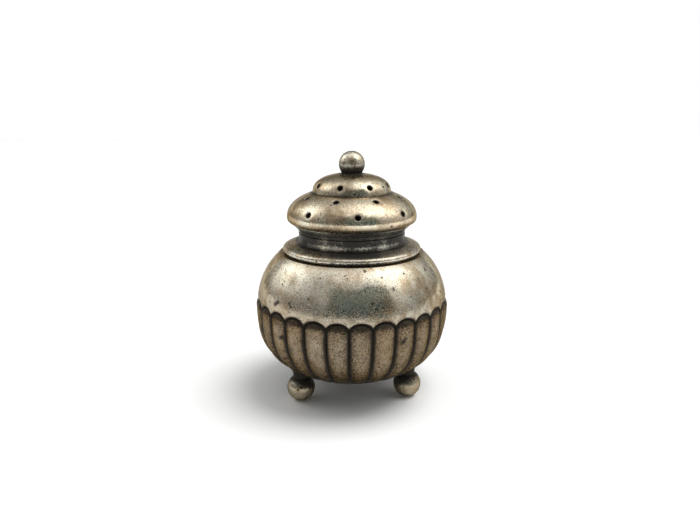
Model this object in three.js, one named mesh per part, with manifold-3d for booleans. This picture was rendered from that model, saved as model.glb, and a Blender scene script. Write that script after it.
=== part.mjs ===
// Silver salt shaker: a round bowl of upright flutes on three ball feet, a plain shoulder,
// a collar with a rounded flange, and a pierced two-tier domed lid that pulls off upwards.
// Millimetres, +Z up. The origin is on the table, in the middle of the three feet.

import * as THREE from 'three';
import { mergeVertices } from 'three/addons/utils/BufferGeometryUtils.js';
import Module from 'manifold-3d';

const wasm = await Module();
wasm.setup();

// Feet: three solid balls
const FOOT_COUNT = 3;
const FOOT_RADIUS = 3.15;
const FOOT_INSET = 7.75; // from the plain wall in to the middle of a foot
const FOOT_FIRST_AZIMUTH = -60;
const FOOT_WEAR = 0.06; // depth of the flat worn under each ball
const FOOT_STEM_RADIUS = 1.5;
const SOLDER_GAP = 0.3; // left for solder between a foot and the bowl

// Bowl and shoulder: one round body in two halves
const BOWL_CLEARANCE = 6; // from the table to the flat underside
const BASE_RADIUS = 12.5; // flat disc in the middle of the underside
const BODY_RADIUS = 21.95; // plain wall at the widest level
const BODY_WALL = 0.8;
const BOWL_DEPTH = 16.45;
const BOWL_FULLNESS = 2.6;
const SHOULDER_HEIGHT = 17.6;
const SHOULDER_FULLNESS = 2.2;
const PLAIN_BAND = 0.33; // from the arches up to the joint between the halves
const SEAT_LEDGE = 0.65; // how far the flat seat of the collar reaches beyond the flange
const MOUTH_CLEARANCE = 0.15;

// Flutes: convex lobes with arched tops
const FLUTE_COUNT = 28;
const FLUTE_PROUD = 0.3; // how far a crest stands beyond the plain wall
const FLUTE_DEPTH = 0.85; // from crest to groove
const FLUTE_TOP_RISE = 2.35; // from the widest level up to an arch's top
const FLUTE_ARCH_RISE = 1.9;
const FLUTE_STEP = 0.22; // height of the rounded step over an arch
const FLUTE_END_RADIUS = 14; // ring on the underside where the grooves have run out
const FLUTE_FADE = 4; // width of the ring over which they run out

// Collar: flange and neck, with a spigot that centres it in the mouth
const FLANGE_RADIUS = 15.75;
const FLANGE_EDGE_RADIUS = 0.8;
const FLANGE_EDGE_TURN = 60; // degrees up the rounded edge where the sloping top starts
const FLANGE_HEIGHT = 2.3;
const FLANGE_CROWN = 0.25; // how far the flange's sloping top bulges
const NECK_FOOT_RADIUS = 12.5;
const NECK_RADIUS = 12.1;
const NECK_HEIGHT = 2.3;
const COLLAR_BORE = 10.8;
const SPIGOT_LENGTH = 1.5;
const SPIGOT_WALL = 0.6;

// Lid: skirt, sleeve, pierced dome and finial
const LID_SEAM = 0.12; // fine line between collar and lid
const SKIRT_HEIGHT = 1.85;
const SKIRT_FLARE_RISE = 0.5; // how far up the neck's line the skirt's flare sets out
const SKIRT_LIP = 0.2;
const RIM_RADIUS = 13.4;
const SLEEVE_CLEARANCE = 0.2;
const SLEEVE_WALL = 0.6;
const SLEEVE_DEPTH = 4; // how far the sleeve reaches down into the collar
const SLEEVE_FLANGE_MARGIN = 0.3; // left between the sleeve's flange and the dome
const SLEEVE_FLANGE_THICKNESS = 0.45;
const DOME_WALL = 0.7;
const LOWER_DOME_RADIUS = 14.7;
const LOWER_DOME_HEIGHT = 6.6;
const LOWER_DOME_FULLNESS = 2.2;
const DOME_FLANK_HEIGHT = 1.4; // from the rim up to the widest level of the lower dome
const LEDGE_WIDTH = 0.4; // small ledge between the two tiers
const UPPER_DOME_RADIUS = 8.85;
const UPPER_DOME_HEIGHT = 4.3;
const UPPER_DOME_FULLNESS = 2.4;
const HOLE_RADIUS = 0.58;
const HOLES_PER_RING = 8;
const SIDE_HOLE_RISE = 2; // hole rings, measured up from the base of their own tier
const SHOULDER_HOLE_RISE = 4.7;
const UPPER_HOLE_RISE = 1.9;
const FINIAL_RADIUS = 2.92;
const FINIAL_FOOT_RADIUS = 2.35;
const FINIAL_FOOT_HEIGHT = 0.2;
const FINIAL_SINK = 1.13; // how far the ball dips into its foot ring
const PEG_RADIUS = 0.8;
const PEG_CLEARANCE = 0.15;
const PEG_OVERHANG = 0.9;

// Facets
const ROUND = 56;
const HOLLOW_ROUND = 40;
const LID_ROUND = 42;
const BALL_ROUND = 18;
const HOLE_SIDES = 8;
const FLUTE_COLUMNS = [-1, -0.72, -0.26, 0.26, 0.72]; // places across one flute, -1 is a groove
const BOWL_ROWS = 9;

// Levels and radii that follow from the sizes above
const footCircleRadius = BODY_RADIUS - FOOT_INSET;
const crestRadius = BODY_RADIUS + FLUTE_PROUD;
const bowlBottom = levelAt(crestRadius, BOWL_DEPTH, BOWL_FULLNESS, BASE_RADIUS);
const widestZ = BOWL_CLEARANCE + bowlBottom;
const seamRise = FLUTE_TOP_RISE + FLUTE_STEP + PLAIN_BAND;
const seatRise = levelAt(BODY_RADIUS, SHOULDER_HEIGHT, SHOULDER_FULLNESS, FLANGE_RADIUS + SEAT_LEDGE);
const seamZ = widestZ + seamRise;
const seatZ = widestZ + seatRise;
const archTopZ = widestZ + FLUTE_TOP_RISE;
const spigotRadius = COLLAR_BORE + SPIGOT_WALL;
const mouthRadius = spigotRadius + MOUTH_CLEARANCE;
const neckFootZ = seatZ + FLANGE_HEIGHT;
const collarTopZ = neckFootZ + NECK_HEIGHT;
const skirtZ = collarTopZ + LID_SEAM;
const rimZ = skirtZ + SKIRT_HEIGHT;
const sleeveRadius = COLLAR_BORE - SLEEVE_CLEARANCE;
const lowerTierZ = rimZ + DOME_FLANK_HEIGHT;
const ledgeRadius = UPPER_DOME_RADIUS + LEDGE_WIDTH;
const upperTierZ = lowerTierZ
  + levelAt(LOWER_DOME_RADIUS, LOWER_DOME_HEIGHT, LOWER_DOME_FULLNESS, ledgeRadius);
const finialSeatZ = upperTierZ
  + levelAt(UPPER_DOME_RADIUS, UPPER_DOME_HEIGHT, UPPER_DOME_FULLNESS, FINIAL_FOOT_RADIUS);

// A superellipse quarter: (r / radius) ^ fullness + (z / height) ^ fullness = 1
function radiusAt(radius, height, fullness, z) {
  return radius * (1 - (z / height) ** fullness) ** (1 / fullness);
}

function levelAt(radius, height, fullness, r) {
  return height * (1 - (r / radius) ** fullness) ** (1 / fullness);
}

// Points [r, z] along that quarter, between two levels, evenly spaced in its own angle
function domeCurve(radius, height, fullness, fromZ, toZ, steps) {
  const angleAt = (z) => Math.acos((z / height) ** (fullness / 2));
  return Array.from({ length: steps + 1 }, (_, i) => {
    const angle = THREE.MathUtils.lerp(angleAt(fromZ), angleAt(toZ), i / steps);
    return [radius * Math.sin(angle) ** (2 / fullness), height * Math.cos(angle) ** (2 / fullness)];
  });
}

const lift = (points, z) => points.map(([r, h]) => [r, z + h]);

// Circular arc [r, z] about a centre, angles in degrees from the outward direction
function arc(centreR, centreZ, radius, fromAngle, toAngle, steps) {
  return Array.from({ length: steps + 1 }, (_, i) => {
    const angle = THREE.MathUtils.degToRad(THREE.MathUtils.lerp(fromAngle, toAngle, i / steps));
    return [centreR + radius * Math.cos(angle), centreZ + radius * Math.sin(angle)];
  });
}

// Quadratic curve from a to b, pulled towards the point c
function bend(a, c, b, steps) {
  const curve = new THREE.QuadraticBezierCurve(
    new THREE.Vector2(...a), new THREE.Vector2(...c), new THREE.Vector2(...b));
  return curve.getPoints(steps).map((p) => [p.x, p.y]);
}

// Solid of revolution about Z. The outline [r, z] runs up the outside and down the inside.
function revolve(outline, sides, closed = true) {
  const points = closed ? [...outline, outline[0]] : outline;
  const geometry = new THREE.LatheGeometry(points.map(([r, z]) => new THREE.Vector2(r, z)), sides);
  geometry.rotateX(Math.PI / 2);
  return geometry;
}

function toSolid(geometry) {
  const bare = geometry.clone();
  bare.deleteAttribute('normal');
  bare.deleteAttribute('uv');
  const merged = mergeVertices(bare, 1e-4);
  return new wasm.Manifold(new wasm.Mesh({
    numProp: 3,
    vertProperties: new Float32Array(merged.attributes.position.array),
    triVerts: new Uint32Array(merged.index.array),
  }));
}

function toGeometry(solid) {
  const { vertProperties, triVerts } = solid.getMesh();
  const geometry = new THREE.BufferGeometry();
  geometry.setAttribute('position', new THREE.BufferAttribute(vertProperties, 3));
  geometry.setIndex(new THREE.BufferAttribute(triVerts, 1));
  geometry.computeVertexNormals();
  return geometry;
}

// Height of a flute's round section across its width: 1 on the crest, 0 in the groove
const lobe = (u) => Math.sqrt(1 - u * u);

// Crest line of the bowl below the widest level, with its outward normal in the (r, z) plane
function crestPoint(fraction) {
  const start = Math.acos((bowlBottom / BOWL_DEPTH) ** (BOWL_FULLNESS / 2));
  const angle = THREE.MathUtils.lerp(start, Math.PI / 2, fraction);
  const r = crestRadius * Math.sin(angle) ** (2 / BOWL_FULLNESS);
  const depth = BOWL_DEPTH * Math.cos(angle) ** (2 / BOWL_FULLNESS);
  const normal = new THREE.Vector2(
    r ** (BOWL_FULLNESS - 1) / crestRadius ** BOWL_FULLNESS,
    -(depth ** (BOWL_FULLNESS - 1)) / BOWL_DEPTH ** BOWL_FULLNESS).normalize();
  return { r, z: widestZ - depth, normal };
}

// One column of the bowl's skin, from the base disc to the joint, at place u across a flute
function fluteColumn(u) {
  const groove = FLUTE_DEPTH * (1 - lobe(u));
  const column = [];
  for (let row = 0; row <= BOWL_ROWS; row += 1) {
    const { r, z, normal } = crestPoint(row / BOWL_ROWS);
    const depth = groove * THREE.MathUtils.clamp((r - FLUTE_END_RADIUS) / FLUTE_FADE, 0, 1);
    column.push([r - depth * normal.x, z - depth * normal.y]);
  }
  const plain = (z) => radiusAt(BODY_RADIUS, SHOULDER_HEIGHT, SHOULDER_FULLNESS, z - widestZ);
  const archZ = archTopZ - FLUTE_ARCH_RISE * (1 - lobe(u));
  column.push([plain(archZ) + FLUTE_PROUD - groove, archZ]);
  column.push([plain(archZ + FLUTE_STEP), archZ + FLUTE_STEP]);
  column.push([plain(seamZ), seamZ]);
  return column;
}

// The fluted skin, closed by a flat base disc and a flat top
function flutedSkin() {
  const pitch = 2 * Math.PI / FLUTE_COUNT;
  const positions = [];
  const index = [];
  for (let flute = 0; flute < FLUTE_COUNT; flute += 1) {
    for (const u of FLUTE_COLUMNS) {
      const azimuth = pitch * (flute + u / 2);
      for (const [r, z] of fluteColumn(u)) {
        positions.push(r * Math.sin(azimuth), -r * Math.cos(azimuth), z);
      }
    }
  }
  const rows = fluteColumn(0).length;
  const columns = FLUTE_COUNT * FLUTE_COLUMNS.length;
  const baseCentre = columns * rows;
  const topCentre = baseCentre + 1;
  positions.push(0, 0, BOWL_CLEARANCE, 0, 0, seamZ);
  for (let column = 0; column < columns; column += 1) {
    const here = column * rows;
    const next = ((column + 1) % columns) * rows;
    index.push(baseCentre, next, here);
    index.push(topCentre, here + rows - 1, next + rows - 1);
    for (let row = 0; row < rows - 1; row += 1) {
      index.push(here + row, next + row, next + row + 1);
      index.push(here + row, next + row + 1, here + row + 1);
    }
  }
  const geometry = new THREE.BufferGeometry();
  geometry.setAttribute('position', new THREE.Float32BufferAttribute(positions, 3));
  geometry.setIndex(index);
  return geometry;
}

// Filled bowl without flutes, larger or smaller than the crest line by an offset, as a cutter
function bowlCutter(offset) {
  const radius = crestRadius + offset;
  const floor = bowlBottom + offset;
  const topZ = seamZ + BODY_WALL;
  const curve = domeCurve(radius, BOWL_DEPTH + offset, BOWL_FULLNESS, floor, 0, BOWL_ROWS)
    .map(([r, z]) => [r, widestZ - z]);
  return toSolid(revolve([[0, widestZ - floor], ...curve, [radius, topZ], [0, topZ]], HOLLOW_ROUND, false));
}

function bowlGeometry() {
  return toGeometry(toSolid(flutedSkin()).subtract(bowlCutter(-FLUTE_DEPTH - BODY_WALL)));
}

function footGeometry(azimuth) {
  const centreZ = FOOT_RADIUS - FOOT_WEAR;
  const flatAngle = THREE.MathUtils.radToDeg(Math.asin(-centreZ / FOOT_RADIUS));
  const stemAngle = THREE.MathUtils.radToDeg(Math.acos(FOOT_STEM_RADIUS / FOOT_RADIUS));
  const ball = arc(0, centreZ, FOOT_RADIUS, flatAngle, stemAngle, 9);
  const outline = [[0, 0], ...ball, [FOOT_STEM_RADIUS, widestZ], [0, widestZ]];
  const geometry = revolve(outline, BALL_ROUND, false);
  geometry.translate(footCircleRadius * Math.sin(azimuth), -footCircleRadius * Math.cos(azimuth), 0);
  return toGeometry(toSolid(geometry).subtract(bowlCutter(SOLDER_GAP)));
}

function shoulderGeometry() {
  const innerRadius = BODY_RADIUS - BODY_WALL;
  const innerHeight = SHOULDER_HEIGHT - BODY_WALL;
  const outside = domeCurve(BODY_RADIUS, SHOULDER_HEIGHT, SHOULDER_FULLNESS, seamRise, seatRise, 7);
  const inside = domeCurve(innerRadius, innerHeight, SHOULDER_FULLNESS, seatRise - BODY_WALL, seamRise, 5);
  const mouth = [[mouthRadius, seatRise], [mouthRadius, seatRise - BODY_WALL]];
  return revolve(lift([...outside, ...mouth, ...inside], widestZ), ROUND);
}

function collarGeometry() {
  const edgeR = FLANGE_RADIUS - FLANGE_EDGE_RADIUS;
  const edgeZ = seatZ + FLANGE_EDGE_RADIUS;
  const edge = arc(edgeR, edgeZ, FLANGE_EDGE_RADIUS, -90, FLANGE_EDGE_TURN, 5);
  const [rimR, edgeTopZ] = edge[edge.length - 1];
  const crown = [(rimR + NECK_FOOT_RADIUS) / 2, (edgeTopZ + neckFootZ) / 2 + FLANGE_CROWN];
  const top = bend([rimR, edgeTopZ], crown, [NECK_FOOT_RADIUS, neckFootZ], 3);
  const neckFillet = NECK_FOOT_RADIUS - NECK_RADIUS;
  const neck = bend(
    [NECK_FOOT_RADIUS, neckFootZ], [NECK_RADIUS, neckFootZ], [NECK_RADIUS, neckFootZ + neckFillet], 2);
  return revolve([
    [COLLAR_BORE, seatZ - SPIGOT_LENGTH],
    [spigotRadius, seatZ - SPIGOT_LENGTH],
    [spigotRadius, seatZ],
    ...edge,
    ...top.slice(1),
    ...neck.slice(1),
    [NECK_RADIUS, collarTopZ],
    [COLLAR_BORE, collarTopZ],
  ], LID_ROUND);
}

function skirtGeometry() {
  const lipZ = rimZ - SKIRT_LIP;
  const flare = bend([NECK_RADIUS, skirtZ], [NECK_RADIUS, skirtZ + SKIRT_FLARE_RISE], [RIM_RADIUS, lipZ], 4);
  return revolve([[COLLAR_BORE, skirtZ], ...flare, [RIM_RADIUS, rimZ], [COLLAR_BORE, rimZ]], LID_ROUND);
}

function sleeveGeometry() {
  const bottomZ = collarTopZ - SLEEVE_DEPTH;
  const topZ = rimZ + SLEEVE_FLANGE_THICKNESS;
  const boreRadius = sleeveRadius - SLEEVE_WALL;
  const flangeRadius = RIM_RADIUS - DOME_WALL - SLEEVE_FLANGE_MARGIN;
  return revolve([
    [boreRadius, bottomZ],
    [sleeveRadius, bottomZ],
    [sleeveRadius, rimZ],
    [flangeRadius, rimZ],
    [flangeRadius, topZ],
    [boreRadius, topZ],
  ], LID_ROUND);
}

// The two-tier shell, outside up to the finial's seat and back down inside
function domeShell() {
  const lower = (wall, fromZ, toZ, steps) => lift(domeCurve(
    LOWER_DOME_RADIUS - wall, LOWER_DOME_HEIGHT - wall, LOWER_DOME_FULLNESS, fromZ, toZ, steps), lowerTierZ);
  const upper = (wall, fromZ, toZ, steps) => lift(domeCurve(
    UPPER_DOME_RADIUS - wall, UPPER_DOME_HEIGHT - wall, UPPER_DOME_FULLNESS, fromZ, toZ, steps), upperTierZ);
  const flank = (wall) => bend(
    [RIM_RADIUS - wall, rimZ], [LOWER_DOME_RADIUS - wall, rimZ + DOME_FLANK_HEIGHT / 3],
    [LOWER_DOME_RADIUS - wall, lowerTierZ], 2);
  const innerTier = levelAt(LOWER_DOME_RADIUS - DOME_WALL, LOWER_DOME_HEIGHT - DOME_WALL,
    LOWER_DOME_FULLNESS, UPPER_DOME_RADIUS - DOME_WALL);
  const boreRadius = PEG_RADIUS + PEG_CLEARANCE;
  return revolve([
    ...flank(0),
    ...lower(0, 0, upperTierZ - lowerTierZ, 6).slice(1),
    ...upper(0, 0, finialSeatZ - upperTierZ, 5),
    [boreRadius, finialSeatZ],
    [boreRadius, finialSeatZ - DOME_WALL],
    ...upper(DOME_WALL, finialSeatZ - DOME_WALL - upperTierZ, 0, 4),
    ...lower(DOME_WALL, innerTier, 0, 4),
    ...flank(DOME_WALL).reverse().slice(1),
  ], LID_ROUND);
}

// Round drill at a level of one tier, square to its surface
function drill(radius, height, fullness, tierZ, rise, azimuth) {
  const r = radiusAt(radius, height, fullness, rise);
  const slope = new THREE.Vector2(
    r ** (fullness - 1) / radius ** fullness, rise ** (fullness - 1) / height ** fullness).normalize();
  const outward = new THREE.Vector3(slope.x * Math.sin(azimuth), -slope.x * Math.cos(azimuth), slope.y);
  const geometry = new THREE.CylinderGeometry(HOLE_RADIUS, HOLE_RADIUS, 4 * DOME_WALL, HOLE_SIDES);
  geometry.applyQuaternion(new THREE.Quaternion().setFromUnitVectors(new THREE.Vector3(0, 1, 0), outward));
  geometry.translate(r * Math.sin(azimuth), -r * Math.cos(azimuth), tierZ + rise);
  return toSolid(geometry);
}

function domeGeometry() {
  const pitch = 2 * Math.PI / HOLES_PER_RING;
  const lowerTier = [LOWER_DOME_RADIUS, LOWER_DOME_HEIGHT, LOWER_DOME_FULLNESS, lowerTierZ];
  const upperTier = [UPPER_DOME_RADIUS, UPPER_DOME_HEIGHT, UPPER_DOME_FULLNESS, upperTierZ];
  let dome = toSolid(domeShell());
  for (let i = 0; i < HOLES_PER_RING; i += 1) {
    dome = dome.subtract(drill(...lowerTier, SIDE_HOLE_RISE, pitch * i));
    dome = dome.subtract(drill(...lowerTier, SHOULDER_HOLE_RISE, pitch * (i + 0.5)));
    dome = dome.subtract(drill(...upperTier, UPPER_HOLE_RISE, pitch * (i + 0.5)));
  }
  return toGeometry(dome);
}

function finialGeometry() {
  const footTopZ = finialSeatZ + FINIAL_FOOT_HEIGHT;
  const centreZ = footTopZ - FINIAL_SINK + FINIAL_RADIUS;
  const startAngle = THREE.MathUtils.radToDeg(Math.asin((footTopZ - centreZ) / FINIAL_RADIUS));
  const ball = arc(0, centreZ, FINIAL_RADIUS, startAngle, 90, 9);
  ball[ball.length - 1][0] = 0;
  const pegEndZ = finialSeatZ - DOME_WALL - PEG_OVERHANG;
  return revolve([
    [0, pegEndZ],
    [PEG_RADIUS, pegEndZ],
    [PEG_RADIUS, finialSeatZ],
    [FINIAL_FOOT_RADIUS, finialSeatZ],
    [FINIAL_FOOT_RADIUS, finialSeatZ + FINIAL_FOOT_HEIGHT / 2],
    ...ball,
  ], BALL_ROUND, false);
}

const tarnishedSilver = () => new THREE.MeshStandardMaterial({
  color: 0xb3a48d,
  roughness: 0.3,
  metalness: 1,
});

const darkSilver = () => new THREE.MeshStandardMaterial({
  color: 0x6a655c,
  roughness: 0.4,
  metalness: 1,
});

function part(name, geometry, material) {
  const mesh = new THREE.Mesh(geometry, material);
  mesh.name = name;
  return mesh;
}

function feet() {
  const names = ['foot_left', 'foot_right', 'foot_back'];
  return Array.from({ length: FOOT_COUNT }, (_, i) => {
    const azimuth = THREE.MathUtils.degToRad(FOOT_FIRST_AZIMUTH + i * 360 / FOOT_COUNT);
    return part(names[i], footGeometry(azimuth), tarnishedSilver());
  });
}

function lid() {
  const group = new THREE.Group();
  group.add(
    part('lid_skirt', skirtGeometry(), darkSilver()),
    part('lid_sleeve', sleeveGeometry(), tarnishedSilver()),
    part('lid_dome', domeGeometry(), tarnishedSilver()),
    part('finial_ball', finialGeometry(), tarnishedSilver()));
  return group;
}

const shaker = new THREE.Group();
shaker.add(
  part('fluted_bowl', bowlGeometry(), tarnishedSilver()),
  part('shoulder', shoulderGeometry(), tarnishedSilver()),
  part('neck_collar', collarGeometry(), darkSilver()),
  ...feet(),
  lid());

export default shaker;
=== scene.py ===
# %% [markdown]
# # An old silver salt shaker
#
# The CAD frame gives every size of the shaker. This lesson dresses it: each piece is drawn again
# as a fine, smooth surface, and old silver is built up as a finish, from the polished metal to the
# black film in the grooves. Every piece stays where its CAD solid is and moves with the same body.

# %% Load the frame
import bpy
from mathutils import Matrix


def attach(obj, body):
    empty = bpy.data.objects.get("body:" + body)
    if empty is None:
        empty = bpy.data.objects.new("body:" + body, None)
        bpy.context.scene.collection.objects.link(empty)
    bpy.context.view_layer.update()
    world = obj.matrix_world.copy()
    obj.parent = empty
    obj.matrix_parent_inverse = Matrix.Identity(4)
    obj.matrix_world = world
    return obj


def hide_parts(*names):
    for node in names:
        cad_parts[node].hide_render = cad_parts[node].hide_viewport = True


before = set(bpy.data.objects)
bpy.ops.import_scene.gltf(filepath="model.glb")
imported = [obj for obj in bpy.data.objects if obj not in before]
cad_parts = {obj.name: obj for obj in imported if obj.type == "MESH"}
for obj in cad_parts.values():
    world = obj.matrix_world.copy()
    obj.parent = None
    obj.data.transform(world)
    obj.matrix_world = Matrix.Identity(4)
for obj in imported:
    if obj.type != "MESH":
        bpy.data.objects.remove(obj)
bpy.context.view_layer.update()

from types import SimpleNamespace

import bpy
import numpy as np
from mathutils import Vector

print("nodes:", ", ".join(sorted(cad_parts)))

# %% [markdown]
# ## Sizes
#
# The pieces are turned on a lathe, raised or cast, so nearly all of them are known by radii and
# heights on one axis. They are written here in millimetres, as on a maker's drawing, and become
# metres only when a mesh is made. A fullness is the power of a rounded quarter: 2 gives an ellipse,
# and more gives a squarer shoulder.

# %% Sizes of the body, in millimetres
BOWL_CLEARANCE = 6.0  # from the table up to the base
BASE_RADIUS = 12.5
BODY_RADIUS = 21.95
BODY_WALL = 0.8
BOWL_DEPTH = 16.45
BOWL_FULLNESS = 2.6
SHOULDER_HEIGHT = 17.6
SHOULDER_FULLNESS = 2.2
MOUTH_RADIUS = 11.55
SEAT_RADIUS = 16.4  # where the curve ends in the flat seat of the collar

FLUTES = 28
FLUTE_PROUD = 0.3  # how far the crests stand out from the plain wall
FLUTE_WEAR = 0.04  # polishing has taken this off the crests
FLUTE_DEPTH = 0.9
FLUTE_ROUNDNESS = 1.8
ARCH_TOP = 2.35  # above the widest level, as the seam is
ARCH_RISE = 2.0
ARCH_BEVEL = 0.28
SEAM_RISE = 2.9
FLUTE_END = 14.0  # radius at which the grooves have run out under the bowl
FLUTE_FADE = 4.0

FOOT_RADIUS = 3.15
FOOT_CIRCLE = 14.2
FOOT_FLAT = 0.06  # worn off where the ball stands
FOOT_GAP = 0.02  # between the top of the ball and the bowl
SOLDER_WAIST = 1.5
SOLDER_SPREAD = 2.2

# %% Sizes of the collar and the lid, in millimetres
FLANGE_RADIUS = 15.75
FLANGE_EDGE = 0.8
FLANGE_HEIGHT = 2.3
FLANGE_CROWN = 0.25
NECK_FOOT = 12.5
NECK_RADIUS = 12.1
NECK_HEIGHT = 2.3
COLLAR_BORE = 10.8
SPIGOT_RADIUS = 11.4
SPIGOT_LENGTH = 1.5

LID_SEAM = 0.12  # open gap between the neck and the skirt
SKIRT_HEIGHT = 1.85
FLARE_RISE = 0.5
RIM_RADIUS = 13.4
RIM_BEAD = 0.14
SLEEVE_RADIUS = 10.6
SLEEVE_BORE = 10.0
SLEEVE_DEPTH = 4.0  # below the top of the collar
SLEEVE_FLANGE = 12.4
SLEEVE_FLANGE_THICKNESS = 0.45
DOME_WALL = 0.7
LOWER_DOME = (14.7, 6.6, 2.2)  # radius, height, fullness
UPPER_DOME = (8.85, 4.3, 2.4)
DOME_FLANK = 1.4
LEDGE_WIDTH = 0.4  # of the step between the two tiers
HOLE_RADIUS = 0.58
HOLES_PER_RING = 8
SIDE_HOLES, SHOULDER_HOLES, UPPER_HOLES = 2.0, 4.7, 1.9  # rise of each ring of holes
FINIAL_RADIUS = 2.92
FINIAL_FOOT = 2.35
FINIAL_FOOT_HEIGHT = 0.2
FINIAL_SINK = 1.13  # how deep the ball sits in its foot ring
PEG_RADIUS = 0.8
PEG_HOLE = 0.95
PEG_OVERHANG = 0.9  # past the inside of the dome


# %% Two formulas for a rounded quarter
def radius_at(radius, height, fullness, z):
    """Superellipse: (r / radius) ^ fullness + (z / height) ^ fullness = 1, solved for r."""
    return radius * np.maximum(1 - (np.asarray(z) / height) ** fullness, 0) ** (1 / fullness)


def level_at(radius, height, fullness, r):
    """The same superellipse, solved for z."""
    return height * np.maximum(1 - (np.asarray(r) / radius) ** fullness, 0) ** (1 / fullness)


# %% Levels that follow from the sizes, in millimetres
CREST_RADIUS = BODY_RADIUS + FLUTE_PROUD
WIDEST = BOWL_CLEARANCE + float(level_at(CREST_RADIUS, BOWL_DEPTH, BOWL_FULLNESS, BASE_RADIUS))
SEAM = WIDEST + SEAM_RISE
SEAT = WIDEST + float(level_at(BODY_RADIUS, SHOULDER_HEIGHT, SHOULDER_FULLNESS, SEAT_RADIUS))
NECK_START = SEAT + FLANGE_HEIGHT
COLLAR_TOP = NECK_START + NECK_HEIGHT
SKIRT = COLLAR_TOP + LID_SEAM
RIM = SKIRT + SKIRT_HEIGHT
LOWER_TIER = RIM + DOME_FLANK
UPPER_TIER = LOWER_TIER + float(level_at(*LOWER_DOME, UPPER_DOME[0] + LEDGE_WIDTH))
FINIAL_SEAT = UPPER_TIER + float(level_at(*UPPER_DOME, FINIAL_FOOT))

# %% [markdown]
# ## Camera
#
# A photograph is matched by its focal length in pixels, its distance and its tilt. The camera looks
# 14.6 degrees down from about 13 cm away, close enough that the lid hides the back of the flange.

# %% The camera, where the photograph was taken
IMAGE_WIDTH = 700
FOCAL_PIXELS = 577.0
CAMERA_PLACE = (-0.01168, -0.12895, 0.06416)  # metres
VIEW_DIRECTION = (0.0843, 0.9640, -0.2521)
camera_data = bpy.data.cameras.new("photograph")
camera_data.sensor_width = 36.0
camera_data.lens = FOCAL_PIXELS / IMAGE_WIDTH * camera_data.sensor_width
camera_data.clip_start, camera_data.clip_end = 0.005, 30.0
camera = bpy.data.objects.new("photograph", camera_data)
bpy.context.scene.collection.objects.link(camera)
camera.location = CAMERA_PLACE
camera.rotation_euler = Vector(VIEW_DIRECTION).to_track_quat("-Z", "Y").to_euler()
bpy.context.scene.camera = camera
bpy.context.scene.view_settings.view_transform = "Standard"
print(f"lens {camera_data.lens:.2f} mm")

# %% [markdown]
# ## Finishes from expressions
#
# A material is a tree of nodes, which is slow to read as a list of links. Here a socket is wrapped
# in a small class with the usual operators, so that `1 - mask * 0.5` adds its Math nodes by itself.
# Every other node comes from one method, `add`.


# %% A socket that works in expressions
class Wire:
    """One output socket. Numbers use Math nodes, vectors use Vector Math nodes."""

    def __init__(self, tree, socket):
        self.tree = tree
        self.socket = socket

    def _combine(self, operation, first, second):
        kind = "ShaderNodeVectorMath" if self.socket.type == "VECTOR" else "ShaderNodeMath"
        return self.tree.add(kind, {"operation": operation}, {0: first, 1: second})

    def __add__(self, other):
        return self._combine("ADD", self, other)

    def __radd__(self, other):
        return self._combine("ADD", other, self)

    def __sub__(self, other):
        return self._combine("SUBTRACT", self, other)

    def __rsub__(self, other):
        return self._combine("SUBTRACT", other, self)

    def __mul__(self, other):
        return self._combine("MULTIPLY", self, other)

    def __rmul__(self, other):
        return self._combine("MULTIPLY", other, self)


# %% The tree that the sockets belong to
class Tree:
    """A node tree. add() makes any node from its type, its settings and its inputs."""

    def __init__(self, nodes_and_links):
        self.tree = nodes_and_links
        self.tree.nodes.clear()

    def add(self, kind, settings=None, inputs=None, output=0):
        node = self.tree.nodes.new(kind)
        for name, value in (settings or {}).items():
            setattr(node, name, value)
        for key, value in (inputs or {}).items():
            if isinstance(value, Wire):
                self.tree.links.new(value.socket, node.inputs[key])
            else:
                node.inputs[key].default_value = value
        return Wire(self, node.outputs[output]) if len(node.outputs) else None

    def step(self, value, low, high):
        """0 below low, 1 above high, smooth between."""
        return self.add("ShaderNodeMapRange", {"interpolation_type": "SMOOTHSTEP"},
                        {"Value": value, "From Min": low, "From Max": high})

    def mix(self, mask, first, second, clamp=True):
        """The first colour where the mask is 0, the second where it is 1."""
        return self.add("ShaderNodeMix", {"data_type": "RGBA", "clamp_factor": clamp},
                        {0: mask, 6: first, 7: second}, 2)

    def noise(self, place, size, detail=2.0, roughness=0.5, seed=0.0):
        """Cloudy noise about 0.5, whose blobs have the given size. Another seed moves them."""
        return self.add("ShaderNodeTexNoise", {"noise_dimensions": "4D"}, {
            "Vector": place, "W": seed, "Scale": 1.0 / size, "Detail": detail,
            "Roughness": roughness})


# %% [markdown]
# ## Old silver
#
# Silver darkens in steps: polished metal, then a thin yellow-brown film that comes in patches, then
# brown soil, and black sulphide in every place that a cloth can't reach. One could paint an image
# for each piece. Here one function makes all the layers from noise, and each piece of the shaker
# gets its own amounts, so the finish holds at any distance and on any side.
#
# Where the soil and the black lie is not left to noise. Each mesh carries two attributes for them,
# one for soil and one for tarnish, 1 deep in a groove or a joint and 0 on a crest, which the noise
# only frays. They also carry painted shade: across the flutes, under the arches and the bowl, on
# the tops of the feet and low on the finial, and a painted reflection on the flange and the skirt.

# %% Colours of the metal and of what lies on it
CLEAN = (0.82, 0.77, 0.65)
WARM = (0.86, 0.77, 0.61)
FILM = (0.57, 0.43, 0.275)
SOIL = (0.190, 0.142, 0.093)
BLACK = (0.034, 0.029, 0.024)
PIT = (0.07, 0.055, 0.04)


def paint(colour, amount=1.0):
    """The colour times an amount, with the alpha that a colour socket expects."""
    return (*(amount * value for value in colour), 1)


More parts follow.
